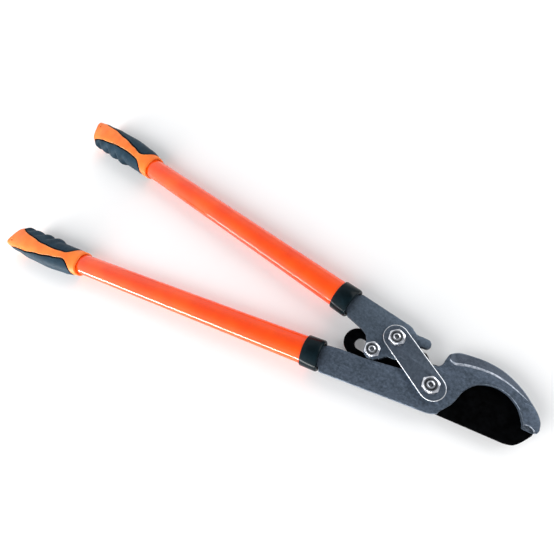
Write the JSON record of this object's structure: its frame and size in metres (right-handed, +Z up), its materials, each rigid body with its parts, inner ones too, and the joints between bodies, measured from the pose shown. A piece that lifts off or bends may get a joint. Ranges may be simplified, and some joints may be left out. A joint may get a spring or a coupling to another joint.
{
  "type": "bypass lopper",
  "caption": "Long-handled two-hand bypass lopper, jaws closed: hooked jaw, linked lever head, slot-driven blade, oval tube handles with two-tone moulded grips.",
  "frame": {"origin": "on the main pivot axis, at the underside of the main bolt's head, which is on the surface that the tool lies on", "axes": "+X along the bisector of the two handles towards the jaws, +Y towards the moving (upper) handle, +Z up out of the surface, towards the lock nuts"},
  "size_m": [0.6722, 0.24, 0.0317],
  "materials": {
    "forged_steel": "forged blue-grey oxide, satin, slightly mottled",
    "blade_coating": "matt black non-stick coating",
    "zinc_steel": "bright zinc plating",
    "bush_bronze": "plain bearing bronze",
    "tube_paint": "glossy orange powder coat",
    "collar_plastic": "glossy blue-black moulding",
    "grip_plastic": "satin orange moulding",
    "grip_rubber": "soft slate overmoulding"
  },
  "bodies": {
    "lower_handle": {"hook_jaw": "forged_steel", "main_bolt": "zinc_steel", "main_washer": "zinc_steel", "main_bush": "bush_bronze", "main_nut": "zinc_steel", "lower_tube": "tube_paint", "lower_ferrule": "collar_plastic", "lower_tang_pin": "zinc_steel", "lower_grip_core": "grip_plastic", "lower_finger_pad": "grip_rubber", "lower_palm_pad": "grip_rubber"},
    "blade": {"blade": "blade_coating"},
    "link": {"link_plate": "forged_steel", "link_bolt": "zinc_steel", "link_bush": "bush_bronze", "link_nut": "zinc_steel"},
    "upper_handle": {"lever_plate": "forged_steel", "drive_bolt": "zinc_steel", "drive_washer": "zinc_steel", "drive_sleeve": "bush_bronze", "drive_nut": "zinc_steel", "upper_tube": "tube_paint", "upper_ferrule": "collar_plastic", "upper_tang_pin": "zinc_steel", "upper_grip_core": "grip_plastic", "upper_finger_pad": "grip_rubber", "upper_palm_pad": "grip_rubber"}
  },
  "joints": [
    {"name": "link_swing", "type": "hinge", "parent": "lower_handle", "child": "link", "pos_m": [0, 0, 0.022], "axis": [0, 0, -1], "range_deg": [0, 34]},
    {"name": "lever_swing", "type": "hinge", "parent": "link", "child": "upper_handle", "pos_m": [-0.0397, 0.0226, 0.022], "axis": [0, 0, -1], "range_deg": [0, 29.4]},
    {"name": "blade_swing", "type": "hinge", "parent": "lower_handle", "child": "blade", "pos_m": [0, 0, 0.0097], "axis": [0, 0, -1], "range_deg": [0, 42.4]}
  ],
  "couplings": [
    {"joint": "lever_swing", "follows": "link_swing", "ratio": 0.858},
    {"joint": "blade_swing", "follows": "link_swing", "ratio": 1.239}
  ]
}
